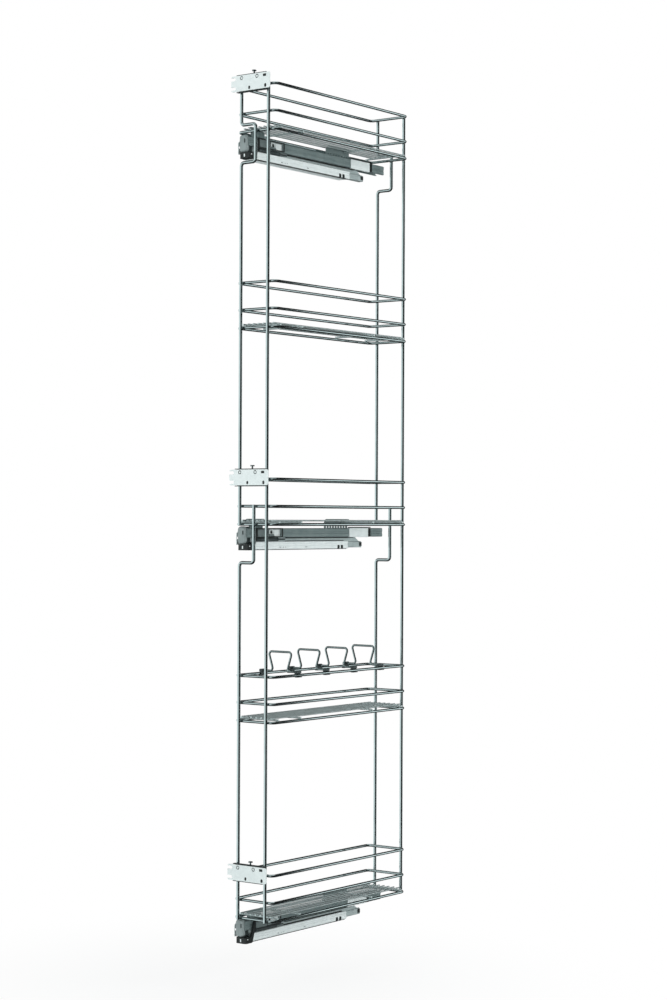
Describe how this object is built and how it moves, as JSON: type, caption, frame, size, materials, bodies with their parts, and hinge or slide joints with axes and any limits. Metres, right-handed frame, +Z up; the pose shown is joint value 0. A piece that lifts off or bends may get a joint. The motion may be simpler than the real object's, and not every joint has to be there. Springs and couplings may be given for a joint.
{
  "type": "pull-out larder unit",
  "caption": "Tall narrow chrome wire frame with baskets, rolling out of a cabinet on side-fixed full-extension runners, with adjustable door brackets and bottle dividers.",
  "frame": {"origin": "on the bottom runner's fixing flange, in the plane of the cabinet side, 37 mm behind the cabinet's front edge and 12 mm below the row of fixing slots", "axes": "+X away from the cabinet side the runners are fixed to, +Y to the back of the cabinet, +Z up; the unit pulls out along -Y"},
  "size_m": [0.111, 0.5023, 1.773],
  "materials": {
    "chrome_wire": "bright chrome-plated steel wire",
    "zinc_sheet": "bright zinc-plated pressed sheet",
    "grey_sheet": "satin grey coated sheet",
    "grey_plastic": "fine-grained grey moulding",
    "black_plastic": "fine-grained black moulding",
    "screw_steel": "dark passivated steel"
  },
  "bodies": {
    "root": {"top_cabinet_rail": "zinc_sheet", "middle_cabinet_rail": "zinc_sheet", "bottom_cabinet_rail": "zinc_sheet"},
    "top_slide": {"top_middle_rail": "zinc_sheet"},
    "middle_slide": {"middle_middle_rail": "zinc_sheet"},
    "bottom_slide": {"bottom_middle_rail": "zinc_sheet"},
    "top_lever": {"top_release_lever": "black_plastic"},
    "top_plate": {"top_door_plate": "zinc_sheet"},
    "top_screw": {"top_height_screw": "screw_steel"},
    "middle_lever": {"middle_release_lever": "black_plastic"},
    "middle_plate": {"middle_door_plate": "zinc_sheet"},
    "middle_screw": {"middle_height_screw": "screw_steel"},
    "bottom_lever": {"bottom_release_lever": "black_plastic"},
    "bottom_plate": {"bottom_door_plate": "zinc_sheet"},
    "bottom_screw": {"bottom_height_screw": "screw_steel"},
    "divider_1": {"divider_1_wire": "chrome_wire", "divider_1_left_clip": "black_plastic", "divider_1_right_clip": "black_plastic"},
    "divider_2": {"divider_2_wire": "chrome_wire", "divider_2_left_clip": "black_plastic", "divider_2_right_clip": "black_plastic"},
    "divider_3": {"divider_3_wire": "chrome_wire", "divider_3_left_clip": "black_plastic", "divider_3_right_clip": "black_plastic"},
    "divider_4": {"divider_4_wire": "chrome_wire", "divider_4_left_clip": "black_plastic", "divider_4_right_clip": "black_plastic"},
    "pull_out": {"basket_1_top_rail": "chrome_wire", "basket_1_middle_rail": "chrome_wire", "basket_1_floor": "chrome_wire", "basket_2_top_rail": "chrome_wire", "basket_2_middle_rail": "chrome_wire", "basket_2_floor": "chrome_wire", "basket_3_top_rail": "chrome_wire", "basket_3_middle_rail": "chrome_wire", "basket_3_floor": "chrome_wire", "basket_4_top_rail": "chrome_wire", "basket_4_middle_rail": "chrome_wire", "basket_4_floor": "chrome_wire", "basket_5_top_rail": "chrome_wire", "basket_5_middle_rail": "chrome_wire", "basket_5_floor": "chrome_wire", "front_right_upright": "chrome_wire", "front_left_upper_upright": "chrome_wire", "front_left_lower_upright": "chrome_wire", "rear_right_upright": "chrome_wire", "rear_left_upper_upright": "chrome_wire", "rear_left_lower_upright": "chrome_wire", "top_carrier_rail": "grey_sheet", "top_front_cap": "grey_plastic", "top_damper": "black_plastic", "top_door_clamp": "zinc_sheet", "middle_carrier_rail": "grey_sheet", "middle_front_cap": "grey_plastic", "middle_damper": "black_plastic", "middle_door_clamp": "zinc_sheet", "bottom_carrier_rail": "grey_sheet", "bottom_front_cap": "grey_plastic", "bottom_damper": "black_plastic", "bottom_door_clamp": "zinc_sheet"}
  },
  "joints": [
    {"name": "unit_pull_out", "type": "slide", "parent": "root", "child": "pull_out", "axis": [0, -1, 0], "range_m": [0, 0.46]},
    {"name": "top_middle_rail_slide", "type": "slide", "parent": "root", "child": "top_slide", "axis": [0, -1, 0], "range_m": [0, 0.23]},
    {"name": "middle_middle_rail_slide", "type": "slide", "parent": "root", "child": "middle_slide", "axis": [0, -1, 0], "range_m": [0, 0.23]},
    {"name": "bottom_middle_rail_slide", "type": "slide", "parent": "root", "child": "bottom_slide", "axis": [0, -1, 0], "range_m": [0, 0.23]},
    {"name": "top_release_lever_swing", "type": "hinge", "parent": "pull_out", "child": "top_lever", "pos_m": [0.034, 0.102, 1.62275], "axis": [0, 0, 1], "range_deg": [0, 2.5], "stiffness_Nm_per_rad": 0.5},
    {"name": "middle_release_lever_swing", "type": "hinge", "parent": "pull_out", "child": "middle_lever", "pos_m": [0.034, 0.102, 0.82275], "axis": [0, 0, 1], "range_deg": [0, 2.5], "stiffness_Nm_per_rad": 0.5},
    {"name": "bottom_release_lever_swing", "type": "hinge", "parent": "pull_out", "child": "bottom_lever", "pos_m": [0.034, 0.102, 0.02275], "axis": [0, 0, 1], "range_deg": [0, 2.5], "stiffness_Nm_per_rad": 0.5},
    {"name": "top_door_plate_height", "type": "slide", "parent": "pull_out", "child": "top_plate", "axis": [0, 0, 1], "range_m": [-0.002, 0.002]},
    {"name": "top_height_screw_turn", "type": "hinge", "parent": "pull_out", "child": "top_screw", "pos_m": [0.062, -0.0307, 1.735], "axis": [0, 0, 1], "range_deg": [-1030, 1030]},
    {"name": "middle_door_plate_height", "type": "slide", "parent": "pull_out", "child": "middle_plate", "axis": [0, 0, 1], "range_m": [-0.002, 0.002]},
    {"name": "middle_height_screw_turn", "type": "hinge", "parent": "pull_out", "child": "middle_screw", "pos_m": [0.062, -0.0307, 0.935], "axis": [0, 0, 1], "range_deg": [-1030, 1030]},
    {"name": "bottom_door_plate_height", "type": "slide", "parent": "pull_out", "child": "bottom_plate", "axis": [0, 0, 1], "range_m": [-0.002, 0.002]},
    {"name": "bottom_height_screw_turn", "type": "hinge", "parent": "pull_out", "child": "bottom_screw", "pos_m": [0.062, -0.0307, 0.135], "axis": [0, 0, 1], "range_deg": [-1030, 1030]},
    {"name": "divider_1_slide", "type": "slide", "parent": "pull_out", "child": "divider_1", "axis": [0, 1, 0], "range_m": [-0.038, 0.038]},
    {"name": "divider_2_slide", "type": "slide", "parent": "pull_out", "child": "divider_2", "axis": [0, 1, 0], "range_m": [-0.038, 0.038]},
    {"name": "divider_3_slide", "type": "slide", "parent": "pull_out", "child": "divider_3", "axis": [0, 1, 0], "range_m": [-0.038, 0.038]},
    {"name": "divider_4_slide", "type": "slide", "parent": "pull_out", "child": "divider_4", "axis": [0, 1, 0], "range_m": [-0.038, 0.038]}
  ],
  "couplings": [
    {"joint": "top_middle_rail_slide", "follows": "unit_pull_out", "ratio": 0.5},
    {"joint": "middle_middle_rail_slide", "follows": "unit_pull_out", "ratio": 0.5},
    {"joint": "bottom_middle_rail_slide", "follows": "unit_pull_out", "ratio": 0.5},
    {"joint": "top_height_screw_turn", "follows": "top_door_plate_height", "rad_per_m": -8976},
    {"joint": "middle_height_screw_turn", "follows": "middle_door_plate_height", "rad_per_m": -8976},
    {"joint": "bottom_height_screw_turn", "follows": "bottom_door_plate_height", "rad_per_m": -8976}
  ]
}
